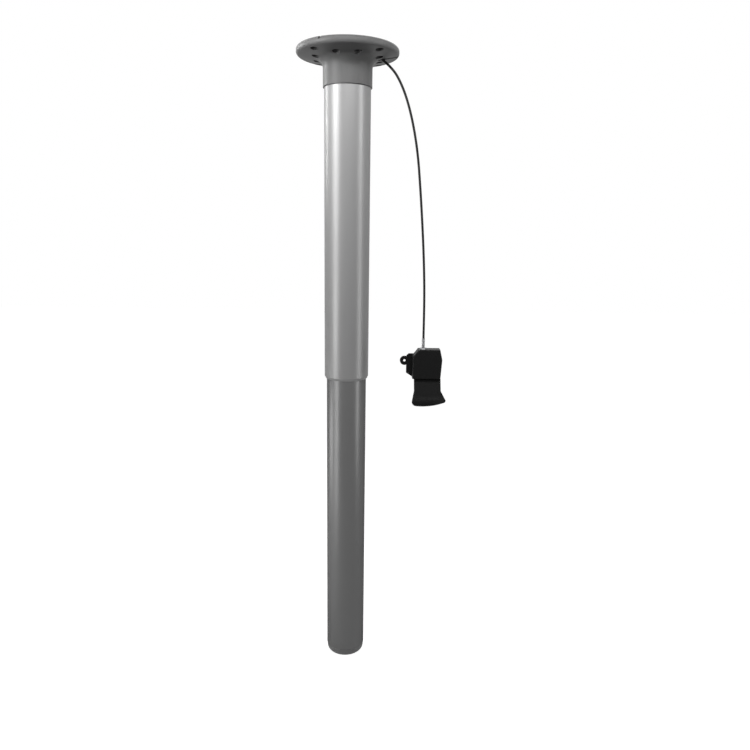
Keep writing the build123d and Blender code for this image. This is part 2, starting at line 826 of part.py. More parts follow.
# Grommet in the flange's slot, bored along the cable
heading_x = cos(2 * lead_in_half_turn)
heading_z = -sin(2 * lead_in_half_turn)
bore_points = [
    lead_in_points[0],
    lead_in_points[1],
    (cable_exit_x + grommet_overrun * heading_x, cable_exit_z + grommet_overrun * heading_z),
]
grommet_bore = round_tube(bore_points, [lead_in_bend], cable_r + grommet_bore_gap)
with BuildPart() as cable_grommet:
    with BuildSketch(Plane.XY.offset(flange_top - grommet_top_gap)):
        with Locations((slot_inner_r + grommet_side_gap + grommet_length / 2, 0)):
            SlotOverall(grommet_length, slot_width - 2 * grommet_side_gap)
    extrude(amount=-grommet_height)
    add(grommet_bore.part, mode=Mode.SUBTRACT)

# Free cable: each arc is as large as its two runs allow
cable_runs = runs(cable_points)
shorter_runs = [min(pair) for pair in zip(cable_runs, cable_runs[1:])]
cable_bends = [bend_share * run / tan(turn) for run, turn in zip(shorter_runs, half_turns(cable_points))]
print("cable bends", [round(bend, 1) for bend in cable_bends])
release_cable = round_tube(cable_points, cable_bends, cable_r)

# Adjuster and its nut on top of the handle
handle_adjuster = threaded_barrel(
    (handle_x, 0, cable_end_z), (0, 0, -1), (1, 0, 0), adjuster_showing + adjuster_in_handle
)
handle_adjuster_nut = hex_nut(
    Plane(origin=(handle_x, 0, handle_top)),
    adjuster_nut_flats,
    adjuster_nut_thickness,
    adjuster_r + fixed_fit,
)


def in_handle(points):
    """Places given as side and drop in the handle, as points in the plane XZ."""
    return [(handle_x + side, handle_top - drop) for side, drop in points]


def back_plate_outline(gap):
    """Outline of the handle's back plate, drawn in by a gap all round."""
    left = cavity_left - back_plate_lap + gap
    right = cavity_right + back_plate_lap - gap
    top = back_plate_drop + gap
    low = housing_height - gap
    cut_low = (left, top + housing_cut_drop)
    cut_high = (left + housing_cut_side, top)
    return in_handle([(left, low), cut_low, cut_high, (right, top), (right, low)])


# Handle body: a housing with a cavity open below and behind, and a thin wing with its lug
back_face = Plane.XZ.offset(-housing_back)
plate_seat = Plane.XZ.offset(back_plate_thickness - housing_back)
pin_plane = Plane(
    origin=(handle_x + housing_left, paddle_pivot_y, paddle_pivot_z), x_dir=(0, 1, 0), z_dir=(1, 0, 0)
)
pin_hole_length = cavity_right + paddle_pin_hold - housing_left
back_screw_spots = in_handle([(side, back_screw_drop) for side in back_screw_sides])
with BuildPart() as handle_body:
    with BuildSketch(back_face):
        with BuildLine():
            Polyline(
                *in_handle(
                    [
                        (housing_left, housing_height),
                        (housing_left, housing_cut_drop),
                        (housing_left + housing_cut_side, 0),
                        (housing_top_right, 0),
                        (housing_right, housing_shoulder_drop),
                        (housing_bottom_right, housing_height),
                    ]
                ),
                close=True,
            )
        make_face()
    extrude(amount=handle_depth)
    fillet(handle_body.faces().sort_by(Axis.Y)[0].edges(), housing_round)
    with BuildSketch(back_face):
        with BuildLine():
            Polyline(
                *in_handle(
                    [
                        (housing_left + housing_round, wing_top_drop + wing_corner),
                        (housing_left + housing_round, housing_height),
                        (wing_left, wing_bottom_drop),
                        (wing_left, wing_top_drop + wing_corner),
                        (wing_left + wing_corner, wing_top_drop),
                        (housing_left + housing_round, wing_top_drop),
                    ]
                ),
                close=True,
            )
        make_face()
        with Locations(*in_handle([(lug_side, lug_drop)])):
            Circle(lug_r)
    extrude(amount=wing_thickness)
    # Recess for the back plate, and the cavity behind the front wall
    with BuildSketch(back_face):
        with BuildLine():
            Polyline(*back_plate_outline(0), close=True)
        make_face()
    extrude(amount=back_plate_thickness, mode=Mode.SUBTRACT)
    with BuildSketch(plate_seat):
        with Locations(*in_handle([((cavity_left + cavity_right) / 2, (cavity_drop + housing_height) / 2)])):
            Rectangle(cavity_right - cavity_left, housing_height - cavity_drop)
    extrude(amount=handle_depth - back_plate_thickness - housing_wall, mode=Mode.SUBTRACT)
    # Hole for the adjuster, and the wire's hole on to the cavity
    with BuildSketch(Plane(origin=(handle_x, 0, handle_top))):
        Circle(adjuster_r + fixed_fit)
    extrude(amount=-adjuster_in_handle, mode=Mode.SUBTRACT)
    with BuildSketch(Plane(origin=(handle_x, 0, handle_top))):
        Circle(wire_bore_r)
    extrude(amount=-cavity_drop, mode=Mode.SUBTRACT)
    # Paddle pin's hole, the ear's fixing hole, the locating peg's hole and the back plate's threads
    with BuildSketch(pin_plane):
        Circle(paddle_pin_r + fixed_fit)
    extrude(amount=pin_hole_length, mode=Mode.SUBTRACT)
    with BuildSketch(back_face):
        with Locations(*in_handle([(lug_side, lug_drop)])):
            Circle(handle_hole_r)
    extrude(amount=wing_thickness, mode=Mode.SUBTRACT)
    with BuildSketch(back_face):
        with Locations(*in_handle([(lug_side + handle_hole_spacing, lug_drop)])):
            Circle(handle_hole_r)
    extrude(amount=handle_peg_depth, mode=Mode.SUBTRACT)
    with BuildSketch(back_face):
        with Locations(*back_screw_spots):
            Circle(back_screw_r + fixed_fit)
    extrude(amount=back_screw_head_height + back_screw_length + thread_runout, mode=Mode.SUBTRACT)

# Back plate and its two screws
with BuildPart() as handle_back_plate:
    with BuildSketch(back_face):
        with BuildLine():
            Polyline(*back_plate_outline(back_plate_gap), close=True)
        make_face()
        with Locations(*back_screw_spots):
            Circle(back_screw_r + back_plate_gap, mode=Mode.SUBTRACT)
    extrude(amount=back_plate_thickness)
    with BuildSketch(back_face):
        with Locations(*back_screw_spots):
            Circle(back_screw_head_r + back_plate_gap)
    extrude(amount=back_screw_head_height, mode=Mode.SUBTRACT)
with BuildPart() as handle_plate_screws:
    with BuildSketch(back_face):
        with Locations(*back_screw_spots):
            Circle(back_screw_head_r)
            RegularPolygon(back_screw_r / 2, 6, mode=Mode.SUBTRACT)
    extrude(amount=back_screw_head_height)
    with BuildSketch(back_face.offset(back_screw_head_height)):
        with Locations(*back_screw_spots):
            Circle(back_screw_r)
    extrude(amount=back_screw_length)

# Paddle pin
with BuildPart() as handle_pivot_pin:
    with BuildSketch(pin_plane.offset(fixed_fit)):
        Circle(paddle_pin_r)
    extrude(amount=pin_hole_length - 2 * fixed_fit)

# Squeeze paddle: a blade with a curled lip, on a hub with a short arm that pulls the wire
tilt_y = -sin(radians(paddle_tilt))
tilt_z = -cos(radians(paddle_tilt))
pivot_point = (handle_x, paddle_pivot_y, paddle_pivot_z)
paddle_side = Plane(origin=pivot_point, x_dir=(0, tilt_y, tilt_z), z_dir=(1, 0, 0))
paddle_front = Plane(origin=pivot_point, x_dir=(1, 0, 0), z_dir=(0, -tilt_z, tilt_y))
half_blade = paddle_thickness / 2
stem_left = cavity_left + paddle_side_gap
stem_right = cavity_right - paddle_side_gap
with BuildPart() as handle_paddle:
    with BuildSketch(paddle_side.offset(paddle_flare_left)):
        with BuildLine():
            Polyline((lip_start, -half_blade), (0, -half_blade), (0, half_blade), (lip_start, half_blade))
            back_arc = CenterArc((lip_start, -lip_bend_r), lip_bend_r + half_blade, 90, -lip_angle)
            front_arc = CenterArc((lip_start, -lip_bend_r), lip_bend_r - half_blade, 90, -lip_angle)
            Line(back_arc @ 1, front_arc @ 1)
        make_face()
    extrude(amount=paddle_flare_right - paddle_flare_left)
    with BuildSketch(paddle_front) as paddle_face:
        with BuildLine():
            edges_above = Polyline(
                (paddle_flare_right, paddle_end_right),
                (paddle_right, paddle_waist_right),
                (paddle_right, paddle_shoulder),
                (stem_right, paddle_shoulder),
                (stem_right, -paddle_thickness),
                (stem_left, -paddle_thickness),
                (stem_left, paddle_shoulder),
                (paddle_left, paddle_shoulder),
                (paddle_left, paddle_waist_left),
                (paddle_flare_left, paddle_end_left),
            )
            RadiusArc(edges_above @ 1, edges_above @ 0, paddle_end_r)
        make_face()
        fillet(paddle_face.vertices().sort_by(Axis.X)[-1], paddle_corner_right_r)
        fillet(paddle_face.vertices().sort_by(Axis.X)[0], paddle_corner_left_r)
    extrude(amount=lip_bend_r, both=True, mode=Mode.INTERSECT)
    with BuildSketch(paddle_side.offset(stem_left)):
        Circle(paddle_hub_r)
    extrude(amount=stem_right - stem_left)
    with BuildSketch(Plane.YZ.offset(handle_x)):
        with Locations((paddle_pivot_y, paddle_pivot_z)):
            Circle(paddle_hub_r)
        with Locations((0, paddle_nipple_z)):
            Circle(paddle_arm_tip_r)
        make_hull()
    extrude(amount=paddle_arm_width / 2, both=True)
    # Stiffening ribs on the desk side of the blade
    rib_length = lip_start - paddle_shoulder - 2 * paddle_rib_margin
    with BuildSketch(paddle_front):
        with Locations(*[(side, (lip_start + paddle_shoulder) / 2) for side in paddle_rib_sides]):
            Rectangle(paddle_rib_width, rib_length)
    extrude(amount=half_blade + paddle_rib_height)
    # Bores for the pin and the nipple, and the slot for the wire
    with BuildSketch(paddle_side.offset(stem_left)):
        Circle(paddle_pin_r + running_fit)
    extrude(amount=stem_right - stem_left, mode=Mode.SUBTRACT)
    with BuildSketch(Plane.YZ.offset(handle_x)):
        with Locations((0, paddle_nipple_z)):
            Circle(nipple_r + nipple_gap)
    extrude(amount=paddle_arm_width / 2, both=True, mode=Mode.SUBTRACT)
    with BuildSketch(Plane.YZ.offset(handle_x)):
        with Locations((-paddle_slot_lean, paddle_nipple_z + paddle_arm_tip_r)):
            Rectangle(2 * paddle_arm_tip_r, 2 * paddle_arm_tip_r)
    extrude(amount=wire_slot_width / 2, both=True, mode=Mode.SUBTRACT)

# Inner wire's end at the paddle, with its barrel nipple
with BuildPart() as handle_wire_end:
    with BuildSketch(Plane.YZ.offset(handle_x)):
        with Locations((0, paddle_nipple_z)):
            Circle(nipple_r)
    extrude(amount=paddle_nipple_length / 2, both=True)
    with BuildSketch(Plane(origin=(handle_x, 0, paddle_nipple_z))):
        Circle(wire_r)
    extrude(amount=handle_top - paddle_nipple_z)

pieces = {
    "top_flange": top_flange,
    "upper_tube": upper_tube,
    "guide_bush": guide_bush,
    "extension_buffer": extension_buffer,
    "lowering_buffer": lowering_buffer,
    "lower_tube": lower_tube,
    "guide_ring": guide_ring,
    "foot_cap": foot_cap,
    "base_bolt": base_bolt,
    "base_washer": base_washer,
    "cylinder_tube": cylinder_tube,
    "cylinder_base": cylinder_base,
    "rod_gland": rod_gland,
    "rod_seal": rod_seal,
    "rod_wiper": rod_wiper,
    "centring_ring": centring_ring,
    "piston_rod": piston_rod,
    "piston": piston,
    "piston_seal": piston_seal,
    "release_pin": release_pin,
    "valve_plunger": valve_plunger,
    "floating_piston": floating_piston,
    "floating_seal": floating_seal,
    "rod_lock_nut": rod_lock_nut,
    "release_head": release_head,
    "head_screws": head_screws,
    "carrier_plate": carrier_plate,
    "plate_screws": plate_screws,
    "release_lever": release_lever,
    "lever_pivot_pin": lever_pivot_pin,
    "lever_wire_end": lever_wire_end,
    "cable_adjuster": cable_adjuster,
    "cable_adjuster_nut": cable_adjuster_nut,
    "cable_lead_in": cable_lead_in,
    "cable_grommet": cable_grommet,
    "release_cable": release_cable,
    "handle_adjuster": handle_adjuster,
    "handle_adjuster_nut": handle_adjuster_nut,
    "handle_body": handle_body,
    "handle_back_plate": handle_back_plate,
    "handle_plate_screws": handle_plate_screws,
    "handle_pivot_pin": handle_pivot_pin,
    "handle_paddle": handle_paddle,
    "handle_wire_end": handle_wire_end,
}
for name, piece in pieces.items():
    piece.part.label = name
    export_step(piece.part, f"parts/{name}.step")
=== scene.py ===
"""Lifting desk leg: its finishes, its release cable, its threads and a plain studio.

Everything is in metres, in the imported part's own frame. The column stands on the origin, -Y is
the front and the cable hangs on the +X side.
"""
import math

import bpy
from mathutils import Matrix, Vector


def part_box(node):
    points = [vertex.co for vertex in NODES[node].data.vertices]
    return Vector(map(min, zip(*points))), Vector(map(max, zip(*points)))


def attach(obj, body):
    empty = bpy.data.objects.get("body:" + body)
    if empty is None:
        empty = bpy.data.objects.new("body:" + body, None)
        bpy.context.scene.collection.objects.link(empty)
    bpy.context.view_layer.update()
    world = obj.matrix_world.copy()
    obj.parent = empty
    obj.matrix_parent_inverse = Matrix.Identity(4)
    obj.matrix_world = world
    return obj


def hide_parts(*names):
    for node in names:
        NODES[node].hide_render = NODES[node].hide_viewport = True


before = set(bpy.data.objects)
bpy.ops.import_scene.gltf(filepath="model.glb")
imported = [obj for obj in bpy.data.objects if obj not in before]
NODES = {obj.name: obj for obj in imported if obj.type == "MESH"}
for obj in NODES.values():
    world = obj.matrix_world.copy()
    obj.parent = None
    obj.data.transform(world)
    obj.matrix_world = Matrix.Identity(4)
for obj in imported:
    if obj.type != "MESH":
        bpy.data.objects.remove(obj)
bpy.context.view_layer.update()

bl_info = {
    "name": "Lifting Desk Leg",
    "version": (1, 0, 0),
    "blender": (4, 5, 0),
    "location": "View3D > Sidebar > Desk Leg",
    "description": "Gives a telescopic desk leg its finishes, release cable, threads and studio",
    "category": "Object",
}

# Centreline of the free cable, from the flange to the handle, as (x, z) in the plane y = 0
CABLE_ROUTE = [
    (0.0557, 1.0451),
    (0.0715, 1.0330),
    (0.0845, 1.0140),
    (0.0965, 0.9865),
    (0.1075, 0.9480),
    (0.1164, 0.9000),
    (0.1218, 0.8450),
    (0.1266, 0.7880),
    (0.1304, 0.7330),
    (0.1329, 0.6800),
    (0.1335, 0.6300),
    (0.1335, 0.5953),
]

# Camera, at the photographed view of a square picture: its place, its angles in degrees, and its
# focal length as a share of the picture's width
CAMERA_PLACE = (0.0305, -1.1708, 0.7666)
CAMERA_TURN = 0.96
CAMERA_DOWN = 11.48
CAMERA_ROLL = -0.73
SENSOR_WIDTH = 36.0
FOCAL_SHARE = 680.8 / 750

# Rays that show a surface, apart from those that only carry its light
SEEN_RAYS = ("Camera", "Glossy", "Transmission")

# Tint of a coated casting's grazing reflections
EDGE_TINT = (0.3, 0.3, 0.3, 1.0)

# Thread's tooth: its share of the pitch, how far it sinks into the core as a share of its depth,
# and the height and side of the triangle that it starts as, in a circle of radius 1
TOOTH_SHARE = 0.96
TOOTH_SINK = 0.2
TRIANGLE_HEIGHT = 1.5
TRIANGLE_SIDE = math.sqrt(3)

# Thread's segments in the core and in each turn, and the attribute that marks the crest
CORE_SEGMENTS = 48
TURN_SEGMENTS = 32
CREST_ATTRIBUTE = "crest"

# Studio: the floor's half width and corners, the world's own light, and how much the seen floor
# gains, so that it shows as white
FLOOR_HALF = 6.0
FLOOR_CORNERS = ((-1, -1), (1, -1), (1, 1), (-1, 1))
WORLD_LIGHT = 0.15
FLOOR_LIFT = 1.02


class Field:
    """A socket on its way through a tree, so that its maths is written as maths."""

    def __init__(self, owner, socket):
        self.owner = owner
        self.socket = socket

    def reckon(self, operation, first, second):
        return self.owner.node("ShaderNodeMath", {"operation": operation}, {0: first, 1: second})

    def __add__(self, other):
        return self.reckon("ADD", self, other)

    __radd__ = __add__

    def __sub__(self, other):
        return self.reckon("SUBTRACT", self, other)

    def __rsub__(self, other):
        return self.reckon("SUBTRACT", other, self)

    def __mul__(self, other):
        return self.reckon("MULTIPLY", self, other)

    __rmul__ = __mul__

    def __truediv__(self, other):
        return self.reckon("DIVIDE", self, other)

    def __rtruediv__(self, other):
        return self.reckon("DIVIDE", other, self)

    def __pow__(self, other):
        return self.reckon("POWER", self, other)

    def __rpow__(self, other):
        return self.reckon("POWER", other, self)


class Tree:
    """A node tree that is built node by node."""

    def __init__(self, tree):
        self.tree = tree
        self.tree.nodes.clear()

    def node(self, kind, settings=None, sockets=None, output=0):
        """Adds a node: first its settings, then its sockets' values or links."""
        made = self.tree.nodes.new(kind)
        for name, value in (settings or {}).items():
            if name == "stops":
                self.set_stops(made.color_ramp, value)
            else:
                setattr(made, name, value)
        for key, value in (sockets or {}).items():
            if isinstance(value, Field):
                self.tree.links.new(value.socket, made.inputs[key])
            else:
                made.inputs[key].default_value = value
        return Field(self, made.outputs[output]) if made.outputs else None

    @staticmethod
    def set_stops(ramp, stops):
        """Gives a ramp its stops, as (place, shade) pairs."""
        while len(ramp.elements) < len(stops):
            ramp.elements.new(1.0)
        for element, (place, shade) in zip(ramp.elements, stops):
            element.position = place
            element.color = (shade, shade, shade, 1.0)


class Finish(Tree):
    """A material whose shader is built node by node."""

    def __init__(self, name, tree=None):
        self.material = None
        if tree is None:
            self.material = bpy.data.materials.new(name)
            self.material.use_nodes = True
            tree = self.material.node_tree
        super().__init__(tree)

    def place(self):
        """Places on the object, in metres."""
        return self.node("ShaderNodeTexCoord", output="Object")

    def noise(self, size, detail=2.0, stretch=(1.0, 1.0, 1.0), roughness=0.5):
        """Soft noise whose grains have a size in metres, drawn out along the axes by a stretch."""
        scale = tuple(1 / length for length in stretch)
        spot = self.node("ShaderNodeMapping", None, {"Vector": self.place(), "Scale": scale})
        return self.node(
            "ShaderNodeTexNoise",
            None,
            {"Vector": spot, "Scale": 1 / size, "Detail": detail, "Roughness": roughness},
        )

    def ramp(self, value, stops):
        """A value sent through a grey ramp."""
        return self.node("ShaderNodeValToRGB", {"stops": stops}, {"Fac": value})

    def mix(self, share, first, second):
        """A colour between two others."""
        return self.node(
            "ShaderNodeMix", {"data_type": "RGBA"}, {0: share, 6: first, 7: second}, output=2
        )

    def bump(self, height, depth):
        """A normal turned by a height from 0 to 1, over a depth in metres."""
        sockets = {"Height": height, "Distance": depth, "Strength": 1.0}
        return self.node("ShaderNodeBump", None, sockets)

    def seen(self):
        """1 for what the camera, gloss or glass shows, and 0 for what only lights the leg."""
        rays = [self.node("ShaderNodeLightPath", output=f"Is {kind} Ray") for kind in SEEN_RAYS]
        return rays[0] + rays[1] + rays[2]

    def close(self, **sockets):
        """Ends the finish in a Principled shader with these sockets, and returns the material."""
        named = {name.replace("_", " "): value for name, value in sockets.items()}
        shader = self.node("ShaderNodeBsdfPrincipled", None, named)
        self.node("ShaderNodeOutputMaterial", None, {"Surface": shader})
        return self.material


class Shape(Tree):
    """A Geometry Nodes tree with named inputs, whose result is kept as a plain mesh."""

    def __init__(self, name, inputs):
        super().__init__(bpy.data.node_groups.new(name, "GeometryNodeTree"))
        self.identifiers = {}
        add_socket = self.tree.interface.new_socket
        for label, kind in inputs.items():
            socket = add_socket(label, in_out="INPUT", socket_type=f"NodeSocket{kind}")
            self.identifiers[label] = socket.identifier
        add_socket("Geometry", in_out="OUTPUT", socket_type="NodeSocketGeometry")
        self.source = self.tree.nodes.new("NodeGroupInput")

    def input(self, label):
        return Field(self, self.source.outputs[label])

    def vector(self, x, y, z):
        return self.node("ShaderNodeCombineXYZ", None, {"X": x, "Y": y, "Z": z})

    def end(self, geometry, material):
        """Ends the tree in real faces with one material."""
        real = self.node("GeometryNodeRealizeInstances", None, {"Geometry": geometry})
        dressed = self.node(
            "GeometryNodeSetMaterial", None, {"Geometry": real, "Material": material}
        )
        self.node("NodeGroupOutput", None, {"Geometry": dressed})

    def build(self, context, name, values):
        """Runs the tree with these values for its inputs, and keeps the mesh that it makes."""
        piece = bpy.data.objects.new(name, bpy.data.meshes.new(f"{name}_start"))
        context.scene.collection.objects.link(piece)
        modifier = piece.modifiers.new(self.tree.name, "NODES")
        modifier.node_group = self.tree
        for label, value in values.items():
            modifier[self.identifiers[label]] = value
        made = piece.evaluated_get(context.evaluated_depsgraph_get())
        mesh = bpy.data.meshes.new_from_object(made)
        piece.modifiers.clear()
        piece.data = mesh
        return piece


def grey(colour, share):
    """A colour made lighter or darker, with its alpha."""
    return tuple(min(1.0, part * share) for part in colour[:3]) + (1.0,)


def satin_metal(name, colour, roughness, metallic, edge):
    """Drawn metal with fine lines along Z, faint cloudy patches and a tint for its edges."""
    finish = Finish(name)
    lines = finish.noise(size=0.0006, detail=3.0, stretch=(1.0, 1.0, 300.0))
    clouds = finish.noise(size=0.06, detail=3.0, stretch=(1.0, 1.0, 2.5))
    grain = finish.noise(size=0.00025, detail=1.0)
    shade = finish.mix(clouds * 0.5 + lines * 0.5, grey(colour, 0.94), grey(colour, 1.06))
    gloss = roughness - 0.05 + clouds * 0.06 + lines * 0.04
    normal = finish.bump(lines * 0.6 + grain * 0.4, depth=1.2e-6)
    return finish.close(
        Base_Color=shade,
        Metallic=metallic,
        Roughness=gloss,
        Normal=normal,
        Specular_IOR_Level=0.08,
        Specular_Tint=(edge, edge, edge, 1.0),
    )


def coated_casting(name, colour, roughness, metallic):
    """A casting under a satin coating, with a fine orange-peel and a few darker specks."""
    finish = Finish(name)
    peel = finish.noise(size=0.0016, detail=2.0)
    grain = finish.noise(size=0.0003, detail=1.0)
    clouds = finish.noise(size=0.035, detail=3.0)
    dust = finish.noise(size=0.0011, detail=0.0)
    specks = finish.ramp(dust, [(0.0, 0.0), (0.70, 0.0), (0.76, 1.0)])
    body = finish.mix(clouds, grey(colour, 0.93), grey(colour, 1.07))
    shade = finish.mix(specks * 0.35, body, grey(colour, 0.6))
    gloss = roughness - 0.04 + clouds * 0.08 + grain * 0.03
    normal = finish.bump(peel * 0.7 + grain * 0.3, depth=2.5e-5)
    return finish.close(
        Base_Color=shade,
        Metallic=metallic,
        Roughness=gloss,
        Normal=normal,
        Specular_IOR_Level=0.15,
        Specular_Tint=EDGE_TINT,
    )


def moulded_plastic(name, colour, roughness, specular=0.5, grain_depth=1.2e-5):
    """Moulded plastic with a fine spark-eroded grain and slightly polished patches."""
    finish = Finish(name)
    grain = finish.noise(size=0.0005, detail=2.0, roughness=0.6)
    rubbed = finish.noise(size=0.012, detail=2.0)
    shade = finish.mix(rubbed, grey(colour, 0.85), grey(colour, 1.2))
    gloss = roughness - 0.06 + rubbed * 0.12
    normal = finish.bump(grain, depth=grain_depth)
    return finish.close(
        Base_Color=shade, Roughness=gloss, Normal=normal, Specular_IOR_Level=specular
    )


def rubber(name, colour):
    """Matt rubber with a dusty bloom."""
    finish = Finish(name)
    bloom = finish.noise(size=0.006, detail=3.0)
    grain = finish.noise(size=0.0004, detail=2.0)
    shade = finish.mix(bloom, grey(colour, 0.8), grey(colour, 1.5))
    normal = finish.bump(grain, depth=1.5e-5)
    return finish.close(Base_Color=shade, Roughness=0.62 + bloom * 0.15, Normal=normal)


def machined_metal(name, colour, roughness):
    """Bare or plated metal with fine tool marks and a little staining."""
    finish = Finish(name)
    marks = finish.noise(size=0.0004, detail=2.0, stretch=(1.0, 1.0, 0.4))
    stain = finish.noise(size=0.008, detail=3.0)
    shade = finish.mix(stain, grey(colour, 0.86), grey(colour, 1.08))
    gloss = roughness - 0.06 + stain * 0.12
    normal = finish.bump(marks, depth=6e-6)
    return finish.close(Base_Color=shade, Metallic=1.0, Roughness=gloss, Normal=normal)


def thread_metal_root_shade(name, colour, roughness):
    """Zinc-plated thread with painted shade: full colour along its crest, darker towards its root.
    """
    finish = Finish(name)
    crest = finish.node("ShaderNodeAttribute", {"attribute_name": CREST_ATTRIBUTE}, output="Fac")
    stain = finish.noise(size=0.004, detail=3.0)
    # Painted shade: the thread's root is darkened to 0.12 of the plating colour, rising to full
    # colour at the crest
    shade = finish.mix(crest, grey(colour, 0.12), colour)
    gloss = roughness + 0.15 - crest * 0.1 + stain * 0.1
    return finish.close(Base_Color=shade, Metallic=1.0, Roughness=gloss)


def threaded_barrel(material):
    """A hollow barrel with a thread wound round it, made along Z, then turned and placed."""
    inputs = {label: "Float" for label in ("Radius", "Depth", "Pitch", "Bore", "Length")}
    shape = Shape("threaded_barrel", inputs | {"Turn": "Rotation", "Place": "Vector"})
    radius, depth, pitch, bore, length = (shape.input(label) for label in inputs)
    root = radius - depth
    wall = root - bore
    ring = shape.node(
        "GeometryNodeCurvePrimitiveCircle",
        None,
        {"Resolution": CORE_SEGMENTS, "Radius": bore + wall * 0.5},
    )
    section = shape.node(
        "GeometryNodeCurvePrimitiveQuadrilateral", None, {"Width": wall, "Height": length}
    )
    core = shape.node("GeometryNodeCurveToMesh", None, {"Curve": ring, "Profile Curve": section})
    core = shape.node(
        "GeometryNodeTransform",
        None,
        {"Geometry": core, "Translation": shape.vector(0, 0, length * 0.5)},
    )
    # The tooth is a triangle that points away from the core and sinks a little into it
    sink = depth * TOOTH_SINK
    reach = (depth + sink) / TRIANGLE_HEIGHT
    breadth = pitch * TOOTH_SHARE / TRIANGLE_SIDE
    tooth = shape.node("GeometryNodeCurvePrimitiveCircle", None, {"Resolution": 3, "Radius": 1.0})
    tooth = shape.node(
        "GeometryNodeTransform",
        None,
        {
            "Geometry": tooth,
            "Translation": shape.vector(sink - reach * 0.5, 0, 0),
            "Rotation": (0.0, 0.0, math.pi),
            "Scale": shape.vector(reach, breadth, 1),
        },
    )
    helix = shape.node(
        "GeometryNodeCurveSpiral",
        None,
        {
            "Resolution": TURN_SEGMENTS,
            "Rotations": length / pitch - 1,
            "Start Radius": root,
            "End Radius": root,
            "Height": length - pitch,
        },
    )
    helix = shape.node("GeometryNodeSetCurveNormal", {"mode": "Z_UP"}, {"Curve": helix})
    ridge = shape.node(
        "GeometryNodeCurveToMesh",
        None,
        {"Curve": helix, "Profile Curve": tooth, "Fill Caps": True},
    )
    ridge = shape.node(
        "GeometryNodeTransform",
        None,
        {"Geometry": ridge, "Translation": shape.vector(0, 0, pitch * 0.5)},
    )
    # A join takes both pieces in one socket
    both = shape.node("GeometryNodeJoinGeometry", None, {"Geometry": core})
    shape.tree.links.new(ridge.socket, both.socket.node.inputs["Geometry"])
    # How near each point is to the crest, for the finish's painted shade at the root
    spot = shape.node("GeometryNodeInputPosition")
    parts = shape.node("ShaderNodeSeparateXYZ", None, {"Vector": spot})
    x, y = (Field(shape, parts.socket.node.outputs[label]) for label in "XY")
    crest = ((x * x + y * y) ** 0.5 - root) / depth
    marked = shape.node(
        "GeometryNodeStoreNamedAttribute",
        {"data_type": "FLOAT", "domain": "POINT"},
        {"Geometry": both, "Name": CREST_ATTRIBUTE, "Value": crest},
    )
    placed = shape.node(
        "GeometryNodeTransform",
        None,
        {
            "Geometry": marked,
            "Rotation": shape.input("Turn"),
            "Translation": shape.input("Place"),
        },
    )
    shape.end(placed, material)
    return shape


def dress(material, *names):
    """Gives CAD nodes one material."""
    for name in names:
        NODES[name].data.materials.clear()
        NODES[name].data.materials.append(material)


class CableSettings(bpy.types.PropertyGroup):
    """Sizes and colour of the release cable."""

    diameter: bpy.props.FloatProperty(
        name="Diameter",
        description="Outer diameter of the cable's jacket",
        default=0.004,
        min=0.001,
        unit="LENGTH",
    )
    length: bpy.props.FloatProperty(
        name="Length",
        description="Length of the free cable, from the flange to the handle's adjuster",
        default=0.467,
        min=0.05,
        unit="LENGTH",
    )
    jacket: bpy.props.FloatVectorProperty(
        name="Jacket",
        description="Colour of the cable's jacket",
        default=(0.005, 0.005, 0.005),
        subtype="COLOR",
        min=0.0,
        max=1.0,
    )


class ThreadSettings(bpy.types.PropertyGroup):
    """Threads of the two cable adjusters."""

    pitch: bpy.props.FloatProperty(
        name="Pitch",
        description="Distance from one turn of the thread to the next",
        default=0.001,
        min=0.0002,
        unit="LENGTH",
    )
    depth: bpy.props.FloatProperty(
        name="Depth",
        description="Depth of the thread, from its crest to its root",
        default=0.0005,
        min=0.0001,
        unit="LENGTH",
    )
    bore: bpy.props.FloatProperty(
        name="Bore",
        description="Radius of the hole for the inner wire",
        default=0.0011,
        min=0.0005,
        unit="LENGTH",
    )
    plating: bpy.props.FloatVectorProperty(
        name="Plating",
        description="Colour of the plated thread",
        default=(0.42, 0.42, 0.43),
        subtype="COLOR",
        min=0.0,
        max=1.0,
    )


class FinishSettings(bpy.types.PropertyGroup):
    """Colours of the leg's finishes."""

    upper_tube: bpy.props.FloatVectorProperty(
        name="Upper Tube",
        description="Colour of the outer satin tube",
        default=(0.2, 0.2, 0.2),
        subtype="COLOR",
        min=0.0,
        max=1.0,
    )
    # Darker than the upper tube: partly the inner tube's own finish, partly painted shade for the
    # light falling off down the column
    lower_tube: bpy.props.FloatVectorProperty(
        name="Lower Tube",
        description="Colour of the inner satin tube",
        default=(0.125, 0.125, 0.125),
        subtype="COLOR",
        min=0.0,
        max=1.0,
    )
    coating: bpy.props.FloatVectorProperty(
        name="Flange",
        description="Colour of the flange's coating",
        default=(0.08, 0.08, 0.08),
        subtype="COLOR",
        min=0.0,
        max=1.0,
    )
    foot: bpy.props.FloatVectorProperty(
        name="Foot",
        description="Colour of the foot cap's coating",
        default=(0.145, 0.145, 0.145),
        subtype="COLOR",
        min=0.0,
        max=1.0,
    )
    handle: bpy.props.FloatVectorProperty(
        name="Handle",
        description="Colour of the handle's plastic",
        default=(0.004, 0.004, 0.004),
        subtype="COLOR",
        min=0.0,
        max=1.0,
    )


class StageSettings(bpy.types.PropertyGroup):
    """The studio round the leg."""

    floor: bpy.props.FloatVectorProperty(
        name="Floor",
        description="Colour of the floor",
        default=(0.86, 0.86, 0.86),
        subtype="COLOR",
        min=0.0,
        max=1.0,
    )
    light: bpy.props.FloatProperty(
        name="Light",
        description="How bright the lamps are, as a share of the plain level",
        default=1.0,
        min=0.0,
        subtype="FACTOR",
    )


